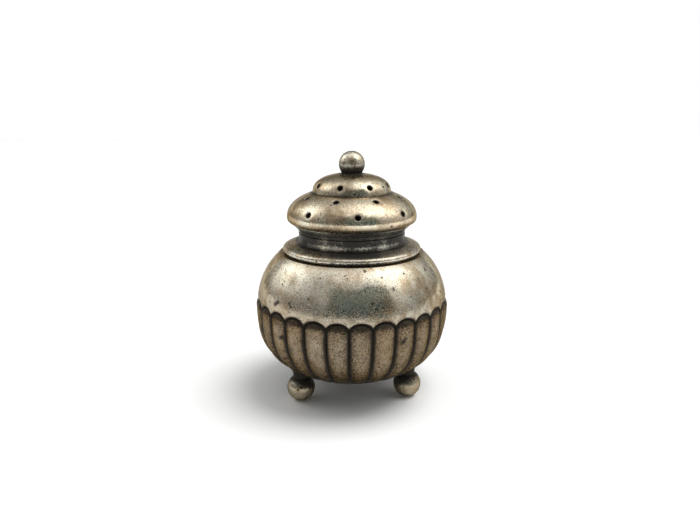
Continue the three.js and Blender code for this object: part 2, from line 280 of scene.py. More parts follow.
# %% What the finish knows about each point
def surface_fields(tree, seed):
    """The place in millimetres, the two attributes, and noise in four sizes of cloud."""
    place = tree.add("ShaderNodeTexCoord", output="Object") * (1000.0, 1000.0, 1000.0)
    return SimpleNamespace(
        place=place,
        tarnish_and_shade=tree.add("ShaderNodeAttribute", {"attribute_name": "tarnish_and_shade"}, output="Fac"),
        soil_and_shade=tree.add("ShaderNodeAttribute", {"attribute_name": "soil_and_shade"}, output="Fac"),
        patches=tree.noise(place, 6.5, 4.0, 0.55, seed),
        clouds=tree.noise(place, 1.7, 6.0, 0.65, 2.0),
        crumbs=tree.noise(place, 0.33, 2.0, 0.6, 3.0),
        hue=tree.noise(place, 9.0, 2.0, 0.5, 9.0))


def frayed(at, amount, by_clouds, by_crumbs):
    """amount + by_clouds * (clouds - 0.5) + by_crumbs * (crumbs - 0.5)."""
    return amount + (at.clouds - 0.5) * by_clouds + (at.crumbs - 0.5) * by_crumbs


# %% [markdown]
# The small flaws come from noise too. Specks and freckles are its highest crests. A pit is the
# middle of a Voronoi cell, larger in some cells than in others. A scratch is noise that has been
# drawn out to a line, and three directions of them cross.


# %% Small flaws
def spots(tree, at, speckle):
    """Masks of specks, freckles and pits. More speckle lowers the level that makes a spot."""
    specks = tree.step(at.crumbs + at.film_mask * 0.12 + at.soil_mask * 0.05,
                       0.72 - 0.1 * speckle, 0.81 - 0.1 * speckle)
    freckles = tree.step(tree.noise(at.place, 1.2, 6.0, 0.75, 8.0) + at.patches * 0.35,
                         0.83 - 0.06 * speckle, 0.92 - 0.06 * speckle)
    pit_distance = tree.add("ShaderNodeTexVoronoi", {"feature": "F1"},
                            {"Vector": at.place, "Scale": 1 / 2.6, "Randomness": 1.0})
    pit_size = tree.noise(at.place, 2.6, 1.0, 0.5, 4.0) * 0.30
    return specks, freckles, tree.step(pit_size - pit_distance, 0.01, 0.07)


def scratches(tree, place):
    """Sum of three masks of lines: noise drawn out 14 times along and squeezed to 0.45 across."""
    masks = []
    for turn, draw in ((0.4, 5.0), (1.5, 6.0), (2.5, 7.0)):
        drawn_out = tree.add("ShaderNodeMapping", {"vector_type": "TEXTURE"}, {
            "Vector": place, "Rotation": (turn, 0.6 * turn, turn), "Scale": (14.0, 0.45, 0.45)})
        masks.append(tree.step(tree.noise(drawn_out, 0.30, 1.0, 0.5, draw), 0.67, 0.72))
    return masks[0] + masks[1] + masks[2]


# %% The layers, one over the other
def layered_colour(tree, at, clean, film, soil_and_shade, black):
    """The layers in order: metal, film, soil, spots, a shade that follows the grain, black and
    scratches. The shade darkens towards the black as painted shade. Soil is half as light where it
    lies thick, and there it also paints shade on the flutes."""
    brown = paint(film, 0.30)
    # painted shade: where the soil layer is thick, or carries painted shade, it is half as light
    thick_soil_and_shade = tree.step(at.soil_and_shade + (at.clouds - 0.5) * 1.6, 0.85, 1.5)
    colour = tree.mix(at.film_mask, paint(clean), paint(film))
    colour = tree.mix(at.soil_mask, colour, tree.mix(thick_soil_and_shade, paint(soil_and_shade), paint(soil_and_shade, 0.5)))
    colour = tree.mix(at.specks * 0.75, colour, brown)
    colour = tree.mix(at.freckles * 0.6, colour, brown)
    colour = tree.mix(at.pits * 0.8, colour, paint(PIT))

    shade = frayed(at, 1.05, 0.95, 3.1 + at.soil_mask * 1.9)
    # painted shade: darker towards grooves and joints, where the black layer begins
    shade = shade * (1.13 - tree.step(at.tarnish_and_shade, -0.5, 1.0) * 0.5)
    colour = tree.add("ShaderNodeVectorMath", {"operation": "SCALE"}, {0: colour, "Scale": shade})
    colour = colour * tree.mix(tree.step(at.hue, 0.35, 0.65),
                               (1.04, 0.99, 0.93, 1), (0.97, 1.0, 0.99, 1))
    colour = tree.mix(at.black_mask, colour, paint(black))
    return tree.mix(at.scratches * 0.3, colour, brown)


# %% The finish
def old_silver(name, clean, film_amount, gloss, grain, speckle,
               film=FILM, soil_and_shade=SOIL, black=BLACK, seed=12.4):
    """Old silver. clean is the colour of the bare metal, film_amount says how far the film has
    spread, gloss is the roughness of the bare metal, grain the depth of the relief in millimetres,
    and speckle the share of small brown specks. film, soil and black are the colours of the
    layers. Another seed moves the patches of film."""
    material = bpy.data.materials.new(name)
    material.use_nodes = True
    tree = Tree(material.node_tree)
    at = surface_fields(tree, seed)
    at.film_mask = tree.step(at.patches + at.clouds * 0.55, 1.02 - 0.5 * film_amount, 0.98)
    at.soil_mask = tree.step(frayed(at, at.soil_and_shade, 0.9, 0.9), 0.0, 1.15)
    at.black_mask = tree.step(frayed(at, at.tarnish_and_shade, 0.8, 1.1), 0.30, 0.80)
    at.specks, at.freckles, at.pits = spots(tree, at, speckle)
    at.scratches = scratches(tree, at.place)

    roughness = (gloss + at.film_mask * 0.07 + at.soil_mask * 0.17
                 + (at.specks + at.freckles) * 0.12 + at.black_mask * 0.22 + at.scratches * 0.05)
    height = (at.patches * 0.8 + at.clouds + at.crumbs * 0.35
              - (at.specks + at.freckles) * 0.25 - at.pits * 0.8 - at.scratches * 0.2)
    relief = tree.add("ShaderNodeBump", inputs={
        "Strength": 1.0, "Distance": grain / 1000, "Height": height})
    shader = tree.add("ShaderNodeBsdfPrincipled", inputs={
        "Base Color": layered_colour(tree, at, clean, film, soil_and_shade, black), "Roughness": roughness,
        "Metallic": (1 - at.black_mask * 0.7) * (1 - at.soil_mask * 0.12),
        "Specular Tint": (0.38, 0.34, 0.28, 1), "Specular IOR Level": 0.15, "Normal": relief})
    tree.add("ShaderNodeOutputMaterial", inputs={"Surface": shader})
    return material


# %% The finishes of this shaker
body_silver = old_silver("body_silver", CLEAN, film_amount=0.66, gloss=0.06, grain=0.03,
                         speckle=1.4)
collar_silver = old_silver("collar_silver", (0.78, 0.74, 0.64), film_amount=0.45, gloss=0.10,
                           grain=0.09, speckle=1.1, black=(0.045, 0.041, 0.036))
lid_silver = old_silver("lid_silver", WARM, film_amount=0.66, gloss=0.08, grain=0.03,
                        speckle=1.1, seed=21.3)
finial_silver = old_silver("finial_silver", CLEAN, film_amount=0.5, gloss=0.08, grain=0.05,
                           speckle=1.3)
foot_silver = old_silver("foot_silver", (0.70, 0.65, 0.52), film_amount=0.8, gloss=0.16,
                         grain=0.04, speckle=0.9)
inside_silver = old_silver("inside_silver", (0.57, 0.52, 0.43), film_amount=0.8, gloss=0.38,
                           grain=0.06, speckle=0.8, film=(0.38, 0.29, 0.20))
print("finishes:", ", ".join(m.name for m in bpy.data.materials if m.name.endswith("_silver")))

# %% [markdown]
# ## From rings to a mesh
#
# A lathe would give these shapes from an outline, but a lathe knows nothing of flutes or dents. So
# a surface is kept as a grid of points instead: one ring after another, up the outside and down the
# inside. Any formula can move the whole grid before it becomes a mesh.


# %% Curves for outlines [r, z]
def quarter(radius, height, fullness, z_from, z_to, count):
    """Points on a superellipse between two levels, evenly spaced in its own angle."""
    angle = np.linspace(*(np.arccos((np.array([z_from, z_to]) / height) ** (fullness / 2))), count)
    return np.stack([radius * np.sin(angle) ** (2 / fullness),
                     height * np.cos(angle) ** (2 / fullness)], 1)


def arc(centre, radius, from_angle, to_angle, count):
    """Circular arc, angles in degrees from the outward direction."""
    angle = np.radians(np.linspace(from_angle, to_angle, count))
    return np.array(centre) + radius * np.stack([np.cos(angle), np.sin(angle)], 1)


def bend(start, pull, end, count):
    """Quadratic curve: (1 - t)^2 start + 2 t (1 - t) pull + t^2 end."""
    t = np.linspace(0, 1, count)[:, None]
    return ((1 - t) ** 2 * np.array(start) + 2 * t * (1 - t) * np.array(pull)
            + t ** 2 * np.array(end))


# %% Joining, dividing and rounding outlines
def outline(*parts):
    """Joins points and curves into one outline, without repeated points."""
    points = np.vstack([np.atleast_2d(np.array(part, float)) for part in parts])
    keep = np.r_[True, np.linalg.norm(np.diff(points, axis=0), axis=1) > 1e-4]
    return points[keep]


def fine(points, step):
    """Adds points along each straight stretch, so that none is longer than step."""
    parts = [np.linspace(a, b, max(1, int(np.ceil(np.linalg.norm(b - a) / step))), endpoint=False)
             for a, b in zip(points[:-1], points[1:])]
    return np.vstack([*parts, points[-1:]])


def soften(points, radius):
    """Rounds every corner of an outline: each is cut back by up to radius and bent between."""
    result = [points[:1]]
    for before, corner, after in zip(points[:-2], points[1:-1], points[2:]):
        a, b = before - corner, after - corner
        reach_a = min(radius, 0.45 * np.linalg.norm(a))
        reach_b = min(radius, 0.45 * np.linalg.norm(b))
        result.append(bend(corner + a / np.linalg.norm(a) * reach_a, corner,
                           corner + b / np.linalg.norm(b) * reach_b, 4))
    return np.vstack([*result, points[-1:]])


# %% Turning an outline, and making a mesh of the rings
def around(count):
    """Azimuths of count columns, all the way round. 0 is the front."""
    return np.linspace(0, 2 * np.pi, count + 1)[:-1]


def rings(points, azimuth):
    """Grid [ring, column, xyz] of an outline turned about the axis."""
    r, z = points[:, 0, None], points[:, 1, None]
    return np.stack([r * np.sin(azimuth), -r * np.cos(azimuth), z + 0 * azimuth], 2)


def skin(name, grid, closed, attributes=None):
    """A mesh object from a grid in millimetres. A closed grid joins its last ring to its first.
    A ring whose points all fall together, as on an axis, becomes one point. Attributes hold one
    number for each point."""
    count, columns = grid.shape[:2]
    on_axis = np.ptp(grid, axis=1).max(1) < 1e-6
    used = np.ones((count, columns), bool)
    used[on_axis, 1:] = False
    here = np.cumsum(used).reshape(count, columns) - 1
    there = np.roll(here, -1, axis=1)
    i = np.arange(count if closed else count - 1)
    j = (i + 1) % count
    quads = np.stack([here[i], there[i], there[j], here[j]], 2).reshape(-1, 4)
    flat = np.repeat(on_axis[i] | on_axis[j], columns)
    faces = quads[~flat].tolist()
    faces += [list(dict.fromkeys(q)) for q in quads[flat].tolist()]
    mesh = bpy.data.meshes.new(name)
    mesh.from_pydata(grid[used] * 0.001, [], [f for f in faces if len(f) > 2])
    for key, values in (attributes or {}).items():
        layer = mesh.attributes.new(key, "FLOAT", "POINT")
        layer.data.foreach_set("value", np.ascontiguousarray(values[used], np.float32))
    mesh.update()
    piece = bpy.data.objects.new(name, mesh)
    bpy.context.scene.collection.objects.link(piece)
    return piece


# %% The last step of every piece
def dress(piece, body, nodes, slot, *materials, sharp=38):
    """Smooth shading with sharp edges, materials, and the piece's place in the frame."""
    piece.data.shade_smooth()
    piece.data.set_sharp_from_angle(angle=np.radians(sharp))
    for material in materials:
        piece.data.materials.append(material)
    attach(piece, body)
    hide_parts(*nodes)
    triangles = sum(len(p.vertices) - 2 for p in piece.data.polygons)
    print(f"{piece.name}: {triangles} triangles")


# %% [markdown]
# ## Wear in the metal
#
# Thin silver is never quite true: it has been dropped and rubbed, so highlights wander. The dents
# are shallow round hollows, pushed in towards the axis, so nothing grows past its drawn size. A
# noise texture could displace the wall, but a sum of round hollows is what knocks leave. The bowl
# and the shoulder use the same dents, so they still meet at their joint. Stains are round marks of
# the same kind. Each is listed one by one, and they go into the attributes instead of the shape.


# %% Marks that fade out
MARK_RADIUS = 20.0  # a mark's width is measured along a wall this far from the axis


def fade(distance, reach, power=2):
    """exp(-(distance / reach)^power): 1 at no distance, nearly 0 at twice the reach."""
    return np.exp(-(np.abs(distance) / reach) ** power)


def marks(grid, places):
    """Sum of amount * fade(distance, size) over places, each (azimuth, z, size, amount)."""
    azimuth = np.arctan2(grid[..., 0], -grid[..., 1])
    total = np.zeros(azimuth.shape)
    for where, level, size, amount in places:
        across = ((azimuth - where + np.pi) % (2 * np.pi) - np.pi) * MARK_RADIUS
        total += amount * fade(np.hypot(across, grid[..., 2] - level), size)
    return total


# %% Dents
DENTS = 70
rng = np.random.default_rng(28)
dents = list(zip(rng.uniform(-np.pi, np.pi, DENTS), rng.uniform(12, 32, DENTS),
                 rng.uniform(1.2, 4.2, DENTS), rng.uniform(0.01, 0.07, DENTS)))


def dented(grid):
    """Takes the dents off the radius."""
    push = marks(grid, dents)
    scale = 1 - push / np.maximum(np.hypot(grid[..., 0], grid[..., 1]), 1.0)
    return grid * np.stack([scale, scale, np.ones(scale.shape)], -1)


# %% Stains that salt and damp have left: azimuth in radians, level, size and strength
BLACK_SPOTS = [(-0.94, 25.1, 0.60, 0.90), (-0.90, 25.7, 0.50, 0.85), (-0.74, 26.1, 0.45, 0.85),
               (-0.71, 25.4, 0.45, 0.60), (0.94, 31.4, 0.45, 1.00), (0.35, 29.5, 0.55, 0.70),
               (0.41, 18.7, 0.65, 0.75), (0.44, 19.4, 0.45, 0.60), (-0.84, 18.4, 0.55, 0.70),
               (-0.70, 16.2, 1.10, 0.55), (-1.26, 17.0, 0.90, 0.60), (0.05, 20.5, 1.10, 0.40),
               (2.30, 27.0, 0.75, 0.90), (2.34, 26.2, 0.50, 0.70), (3.60, 25.5, 0.55, 0.90)]
BROWN_CLOUDS = [(-0.78, 30.2, 1.8, 0.62), (0.66, 28.2, 2.8, 0.5), (2.6, 28.0, 2.5, 0.6)]
LID_CLOUDS = [(-0.45, 43.5, 3.6, 0.55), (-0.2, 48.0, 3.2, 0.5), (0.75, 43.0, 2.4, 0.4),
              (2.9, 44.0, 4.0, 0.5)]
print(f"{DENTS} dents, {len(BLACK_SPOTS)} spots, {len(BROWN_CLOUDS + LID_CLOUDS)} clouds")

# %% [markdown]
# ## Fluted bowl
#
# Each flute is a lobe between two grooves, with an arched top. It could be modelled once and copied
# round, but the lobes were chased by hand and differ a little, so the whole skin is one formula. A
# number e says where a point lies in its flute: 0 on the middle line, 1 on the outline, more than 1
# on the plain wall above an arch. The depth below the crest is the flute's depth times
# 1 - (1 - e^1.8)^(1 / 1.8) inside the outline, and outside it a short bevel up to the plain wall.

# %% Columns round the bowl, closer together in the grooves
COLUMNS_PER_FLUTE = 20
edges = (np.arange(FLUTES + 1) - 0.5) * 2 * np.pi / FLUTES
wobble = rng.uniform(-0.004, 0.004, FLUTES)
edges += np.r_[wobble, wobble[0]]
across_flute = np.sin(np.linspace(-np.pi / 2, np.pi / 2, COLUMNS_PER_FLUTE + 1)[:-1])
bowl_azimuth = (edges[:-1, None] + (across_flute + 1) / 2 * np.diff(edges)[:, None]).ravel()
flute_tone = np.repeat(rng.uniform(-0.08, 0.08, FLUTES), COLUMNS_PER_FLUTE)
flute_top = WIDEST + ARCH_TOP + np.repeat(rng.uniform(-0.12, 0.0, FLUTES), COLUMNS_PER_FLUTE)
print(f"{FLUTES} flutes of {COLUMNS_PER_FLUTE} columns")

# %% Crest line of the bowl from the base up to the seam
base_angle = np.arccos(((WIDEST - BOWL_CLEARANCE) / BOWL_DEPTH) ** (BOWL_FULLNESS / 2))
angle = np.linspace(base_angle, np.pi / 2, 52)
below = np.stack([(CREST_RADIUS - FLUTE_WEAR) * np.sin(angle) ** (2 / BOWL_FULLNESS),
                  WIDEST - BOWL_DEPTH * np.cos(angle) ** (2 / BOWL_FULLNESS)], 1)
rise = np.r_[np.linspace(0, 0.4, 3)[1:], np.arange(0.5, SEAM_RISE, 0.1), SEAM_RISE]
wall = radius_at(BODY_RADIUS, SHOULDER_HEIGHT, SHOULDER_FULLNESS, rise)
crest = np.vstack([below, np.stack([wall + FLUTE_PROUD - FLUTE_WEAR, WIDEST + rise], 1)])
slope = np.gradient(crest, axis=0)
normal = np.stack([slope[:, 1], -slope[:, 0]], 1)
normal /= np.linalg.norm(normal, axis=1)[:, None]

# %% The outer skin of the bowl
crest_radius, level = crest[:, 0, None], crest[:, 1, None]
up_arch = np.maximum(level - (flute_top - ARCH_RISE), 0) / ARCH_RISE
place_in_flute = np.hypot(np.tile(across_flute, FLUTES), up_arch)
on_wall = place_in_flute > 1
half_width = crest_radius * np.pi / FLUTES
inside = np.clip(place_in_flute, 0, 1)
lobe = FLUTE_DEPTH * (1 - (1 - inside ** FLUTE_ROUNDNESS) ** (1 / FLUTE_ROUNDNESS))
past_edge = np.maximum(place_in_flute - 1, 0) * half_width
plain = FLUTE_PROUD + (FLUTE_DEPTH - FLUTE_PROUD) * fade(past_edge, ARCH_BEVEL)
run_out = np.clip((crest_radius - FLUTE_END) / FLUTE_FADE, 0, 1)
depth = np.where(on_wall, plain, lobe * run_out)
outer = dented(rings(crest, bowl_azimuth) - depth[..., None] * rings(normal, bowl_azimuth))
print(f"grooves reach {depth.max():.2f} mm below the crests")

# %% [markdown]
# The dark layers follow the same numbers. Black is deepest on the flute's outline and fades out
# over a millimetre. It also lies under the bowl, partly tarnish and partly painted shade, and under
# each arch as a painted shade. Soil covers the lobes and each flute has its tone; the extra soil
# towards the lobes' edges, their tops and the bottom of the bowl is painted shade.

# %% Black, soil and painted shade on the flutes
UNDER_RADIUS = 19.3  # the underside starts inside this radius
from_edge = np.abs(1 - place_in_flute) * half_width
groove_black = 0.85 * fade(from_edge, 0.40, 1.6) + 0.34 * fade(from_edge, 1.1)
groove_black *= np.clip((crest_radius - FLUTE_END) / 1.5, 0, 1)
# painted shade under the bowl, over its tarnish: darker inside the underside radius
under_shade_and_tarnish = 0.8 * np.clip((UNDER_RADIUS - crest_radius) / 2.5, 0, 1) ** 2
groove_black = np.maximum(groove_black, under_shade_and_tarnish)
below_top = flute_top - level
# painted shade inside the top of each arch
arch_shadow = 0.58 * fade(below_top - 0.7, 0.8)
flute_black_and_shade = np.where(on_wall, groove_black, np.maximum(groove_black, arch_shadow))

# each flute's tone is its own; the extra soil towards the lobes' edges and tops and towards the
# bottom of the bowl is painted shade
lobe_soil_and_shade = 0.92 + flute_tone + 0.42 * inside ** 2 + 0.22 * fade(below_top - 1.2, 1.3)
lobe_soil_and_shade += 0.28 * np.clip((WIDEST - 6 - level) / 8, 0, 1)
flute_soil_and_shade = np.where(on_wall, 0.56 + 0.4 * fade(past_edge, 0.6), lobe_soil_and_shade)

# %% The rest of the bowl: rim, inner wall and the two discs of the base
inner_wall = FLUTE_DEPTH + BODY_WALL
inner_floor = WIDEST - BOWL_CLEARANCE - inner_wall
inner = quarter(CREST_RADIUS - inner_wall, BOWL_DEPTH - inner_wall, BOWL_FULLNESS,
                0, inner_floor, 22) * [1, -1]
inner_line = outline([CREST_RADIUS - inner_wall, SEAM], inner + [0, WIDEST],
                     [0, WIDEST - inner_floor])
base_line = np.array([[0, 0.25], [6, 0.22], [10.5, 0.12], [12.0, 0.02]]) + [0, BOWL_CLEARANCE]
bowl_grid = np.concatenate([rings(base_line, bowl_azimuth), outer, rings(inner_line, bowl_azimuth)])


def bowl_layer(on_base, on_flutes, within):
    """One number for each point of the bowl: a constant below, the flutes', a constant inside."""
    columns = len(bowl_azimuth)
    return np.vstack([np.full((len(base_line), columns), on_base), on_flutes,
                      np.full((len(inner_line), columns), within)])


# the base discs are darkened as painted shade under the bowl, over their tarnish
bowl = skin("bowl_of_flutes", bowl_grid, False, {
    "tarnish_and_shade": bowl_layer(0.6, flute_black_and_shade + marks(outer, BLACK_SPOTS), 0.0),
    "soil_and_shade": bowl_layer(1.0, flute_soil_and_shade, 0.6)})
dress(bowl, "shaker", ["fluted_bowl"], "silver_body", body_silver)

# %% [markdown]
# ## Shoulder
#
# The plain upper half of the body is a full quarter curve that ends in a flat seat for the collar.
# A Screw modifier could turn it, but it takes the bowl's dents, so it is a grid as well. A little
# black stays in the corner where the flange lies on it, and soil just above the arches.

# %% The shoulder, inside and out
SHOULDER_RINGS, SHOULDER_COLUMNS = 46, 320
shoulder_outer = quarter(BODY_RADIUS, SHOULDER_HEIGHT, SHOULDER_FULLNESS,
                         SEAM_RISE, SEAT - WIDEST, SHOULDER_RINGS) + [0, WIDEST]
shoulder_inner = quarter(BODY_RADIUS - BODY_WALL, SHOULDER_HEIGHT - BODY_WALL, SHOULDER_FULLNESS,
                         SEAT - WIDEST - BODY_WALL, SEAM_RISE, 24) + [0, WIDEST]
shoulder_line = outline(shoulder_outer, [15.2, SEAT], [13.4, SEAT], [MOUTH_RADIUS, SEAT],
                        [MOUTH_RADIUS, SEAT - BODY_WALL], shoulder_inner)
shoulder_grid = rings(shoulder_line, around(SHOULDER_COLUMNS))
shoulder_grid[:SHOULDER_RINGS] = dented(shoulder_grid[:SHOULDER_RINGS])

# %% Black and soil on the shoulder
to_seat = np.hypot(shoulder_line[:, 0] - FLANGE_RADIUS, shoulder_line[:, 1] - SEAT)[:, None]
above_arches = np.maximum(shoulder_line[:, 1, None] - SEAM - 0.5, 0)
shoulder_soil = np.maximum(0.56 * fade(above_arches, 2.6), 0.66 * fade(to_seat, 1.6))
shoulder = skin("plain_shoulder", shoulder_grid, True, {
    "tarnish_and_shade": 0.8 * fade(to_seat, 0.5) + marks(shoulder_grid, BLACK_SPOTS),
    "soil_and_shade": shoulder_soil + marks(shoulder_grid, BROWN_CLOUDS)})
dress(shoulder, "shaker", ["shoulder"], "silver_body", body_silver)

# %% [markdown]
# ## Turned pieces
#
# The collar, the skirt, the sleeve and the finial are true turned rings. A Screw modifier could
# turn their outlines, but a grid carries its soil and its black with it. So one helper makes all
# four, and two lists of places on the outline say how dark each stretch is.


# %% A turned ring with its dark layers
def layer_on(points, places):
    """The largest amount * fade(distance, reach) over places, each (r, z, reach, amount)."""
    strength = np.zeros(len(points))
    for r, z, reach, amount in places:
        distance = np.hypot(points[:, 0] - r, points[:, 1] - z)
        strength = np.maximum(strength, amount * fade(distance, reach))
    return strength[:, None]


def turned(name, points, black_at, soil_at=(), patchy=0.0, painted_side_reflection=0.0, closed=True, columns=256):
    """Turns an outline about an upright axis, with black and soil where the two lists say. Patchy
    black is stronger and weaker in turn round the axis, by cos(6 a) and a little cos(17 a). A
    painted reflection makes black weaker by sin^2(a) where the ring stands out from the neck, and a
    little stronger on the neck itself, so the ring looks paler at the sides than at the front and
    back."""
    azimuth = around(columns)
    uneven = 1 + patchy * (np.cos(6 * azimuth) + 0.3 * np.cos(17 * azimuth + 1))
    stand = np.clip((points[:, 0, None] - NECK_RADIUS) / 1.5, 0, 1)
    # painted reflection: black is weaker at the sides where the ring stands out, and a little
    # stronger on the neck there
    uneven = uneven - painted_side_reflection * (stand - 0.2) * np.sin(azimuth) ** 2
    return skin(name, rings(points, azimuth), closed, {
        "tarnish_and_shade": layer_on(points, black_at) * uneven,
        "soil_and_shade": np.repeat(layer_on(points, soil_at), columns, 1)})


# %% [markdown]
# ## Collar
#
# The flange has a rounded edge that polishing keeps bright above, while its underside is dark. The
# neck is a corner that no cloth reaches, so it has gone black all round. The black over the top of
# the flange is partly a painted reflection of the dark neck, and a painted reflection makes it
# paler at the sides than at the front and back.

# %% The collar's outline
edge_centre = (FLANGE_RADIUS - FLANGE_EDGE, SEAT + FLANGE_EDGE)
edge = arc(edge_centre, FLANGE_EDGE, -90, 60, 18)
neck_foot = (NECK_FOOT, NECK_START)
neck_bottom = NECK_START + NECK_FOOT - NECK_RADIUS
crown = (edge[-1] + neck_foot) / 2 + [0, FLANGE_CROWN]
collar_line = outline(
    [COLLAR_BORE, SEAT - SPIGOT_LENGTH], [SPIGOT_RADIUS, SEAT - SPIGOT_LENGTH],
    [SPIGOT_RADIUS, SEAT], edge, bend(edge[-1], crown, neck_foot, 14),
    bend(neck_foot, (NECK_RADIUS, NECK_START), (NECK_RADIUS, neck_bottom), 6),
    fine(np.array([[NECK_RADIUS, neck_bottom], [NECK_RADIUS, COLLAR_TOP - 0.1]]), 0.2),
    [NECK_RADIUS - 0.1, COLLAR_TOP], [COLLAR_BORE, COLLAR_TOP])

# %% The collar
collar = turned(
    "turned_collar", collar_line, patchy=0.14, painted_side_reflection=1.0,
    black_at=[
        (NECK_RADIUS, NECK_START + 1.7, 1.5, 0.82), (NECK_RADIUS, NECK_START + 0.4, 0.9, 0.62),
        (NECK_FOOT + 0.5, NECK_START - 0.2, 1.6, 0.95),
        # over the top of the flange the black is partly tarnish and partly a painted reflection of
        # the dark neck
        (FLANGE_RADIUS - 1.6, NECK_START - 0.6, 1.2, 0.95),
        (FLANGE_RADIUS - 0.95, SEAT + 1.7, 0.6, 0.8), (FLANGE_RADIUS - 0.1, SEAT + 0.45, 0.5, 0.8)],
    soil_at=[(NECK_FOOT + 1.2, NECK_START - 0.4, 1.9, 0.5), (FLANGE_RADIUS, SEAT + 0.2, 0.4, 0.6)])
dress(collar, "shaker", ["neck_collar"], "silver_collar", collar_silver)

# %% [markdown]
# ## Ball feet
#
# A cast ball, soldered under the bowl. Its top follows the bowl's curve, with a small fillet of
# solder, and it is worn flat where it stands. A sphere cut by the bowl would do, but pressing the
# top of the grid down to the bowl's surface needs no cut. Black grows from the gap under the bowl:
# it is 1.5 * exp(-(gap / 3.0)^2), so it creeps further down where the gap is narrow. It is black
# grime in the solder joint, and further down the top of the ball it is painted shade.

# %% One outline, three feet
BALL_COLUMNS = 96
foot_centre = FOOT_RADIUS - FOOT_FLAT
flat_angle = np.degrees(np.arcsin(-foot_centre / FOOT_RADIUS))
ball = arc((0, foot_centre), FOOT_RADIUS, flat_angle, 56, 44)
solder = bend(ball[-1], (SOLDER_WAIST, ball[-1][1] + 0.5),
              (SOLDER_SPREAD, foot_centre + FOOT_RADIUS + 1.6), 10)
foot_line = outline([0, 0], ball, solder, [0, solder[-1][1]])

for side, degrees in (("left", -60), ("right", 60), ("back", 180)):
    turn = np.radians(degrees)
    grid = rings(foot_line, around(BALL_COLUMNS))
    grid += [FOOT_CIRCLE * np.sin(turn), -FOOT_CIRCLE * np.cos(turn), 0]
    bowl_level = WIDEST - level_at(CREST_RADIUS, BOWL_DEPTH, BOWL_FULLNESS,
                                   np.hypot(grid[..., 0], grid[..., 1]))
    under = np.maximum(bowl_level, BOWL_CLEARANCE)
    grid[..., 2] = np.minimum(grid[..., 2], under - FOOT_GAP)
    # black grime in the solder joint, and painted shade further down the top of the ball
    black = 1.5 * fade(under - grid[..., 2], 3.0)
    foot = skin(f"ball_foot_{side}", grid, False,
                {"tarnish_and_shade": black, "soil_and_shade": np.full(black.shape, 0.5)})
    dress(foot, "shaker", [f"foot_{side}"], "silver_feet", foot_silver)

# %% [markdown]
# ## Lid: skirt and sleeve
#
# The skirt carries on the line of the neck and flares out to a thin bead under the dome. It is as
# black as the neck, and a painted reflection makes it paler at the sides, as on the flange. The
# sleeve inside shows only when the lid is lifted, and it has never been polished. Both are turned
# in the same way as the collar.

# %% The skirt
bead = arc((RIM_RADIUS - RIM_BEAD, RIM - RIM_BEAD), RIM_BEAD, -70, 90, 14)
flare = bend((NECK_RADIUS, SKIRT + 0.08), (NECK_RADIUS, SKIRT + FLARE_RISE), bead[0], 16)
skirt_line = outline([COLLAR_BORE, SKIRT], [NECK_RADIUS - 0.08, SKIRT], flare, bead,
                     [COLLAR_BORE, RIM])
skirt = turned("flared_skirt", skirt_line, patchy=0.1, painted_side_reflection=0.9, black_at=[
    (NECK_RADIUS, SKIRT, 0.8, 0.8), (12.6, SKIRT + 1.0, 1.3, 0.82), (13.2, RIM - 0.2, 0.6, 0.9)])
dress(skirt, "lid", ["lid_skirt"], "silver_collar", collar_silver)

# %% The sleeve
sleeve_foot, sleeve_top = COLLAR_TOP - SLEEVE_DEPTH, RIM + SLEEVE_FLANGE_THICKNESS
sleeve_line = outline(
    [SLEEVE_BORE, sleeve_foot], [SLEEVE_RADIUS, sleeve_foot], [SLEEVE_RADIUS, RIM],
    [SLEEVE_FLANGE, RIM], [SLEEVE_FLANGE, sleeve_top], [SLEEVE_BORE, sleeve_top],
    [SLEEVE_BORE, sleeve_foot])
sleeve_line = fine(soften(sleeve_line, 0.12)[:-1], 0.6)
sleeve = turned("inner_sleeve", sleeve_line, black_at=[(SLEEVE_RADIUS, RIM - 0.6, 1.0, 0.8)])
dress(sleeve, "lid", ["lid_sleeve"], "silver_lid", inside_silver)

# %% [markdown]
# ## Pierced dome
#
# The dome is a turned shell in two tiers. The holes were punched and then rubbed for a century, so
# each has a rounded, slightly sunk lip. Sinking a fine grid round each hole and then cutting with a
# flared punch gives that lip, and keeps the shading smooth between the holes.


# %% Curves of the two tiers
def tier(shape, base, wall, z_from, z_to, count):
    """A stretch of one tier's curve, a wall's thickness in from its outside."""
    radius, height, fullness = shape
    return quarter(radius - wall, height - wall, fullness, z_from, z_to, count) + [0, base]


def flank(wall):
    """The lower tier's flank, from the rim out to its widest level."""
    return bend((RIM_RADIUS - wall, RIM), (LOWER_DOME[0] - wall, RIM + DOME_FLANK / 3),
                (LOWER_DOME[0] - wall, LOWER_TIER), 12)


# %% The shell, up the outside and down the inside
DOME_COLUMNS = 420
upper_rise = FINIAL_SEAT - UPPER_TIER
inner_step = float(level_at(LOWER_DOME[0] - DOME_WALL, LOWER_DOME[1] - DOME_WALL, LOWER_DOME[2],
                            UPPER_DOME[0] - DOME_WALL))
lower_outer = tier(LOWER_DOME, LOWER_TIER, 0, 0, UPPER_TIER - LOWER_TIER, 46)
upper_outer = tier(UPPER_DOME, UPPER_TIER, 0, 0, upper_rise, 36)
step_fillet = bend(lower_outer[-1], (UPPER_DOME[0] + 0.02, UPPER_TIER - 0.02), upper_outer[3], 8)
dome_line = outline(
    flank(0), lower_outer, step_fillet, upper_outer[4:],
    [PEG_HOLE, FINIAL_SEAT], [PEG_HOLE, FINIAL_SEAT - DOME_WALL],
    tier(UPPER_DOME, UPPER_TIER, DOME_WALL, upper_rise - DOME_WALL, 0, 14),
    tier(LOWER_DOME, LOWER_TIER, DOME_WALL, inner_step, 0, 14), flank(DOME_WALL)[::-1])
dome_grid = rings(dome_line, around(DOME_COLUMNS))
print(f"dome: {len(dome_line)} rings of {DOME_COLUMNS} points")

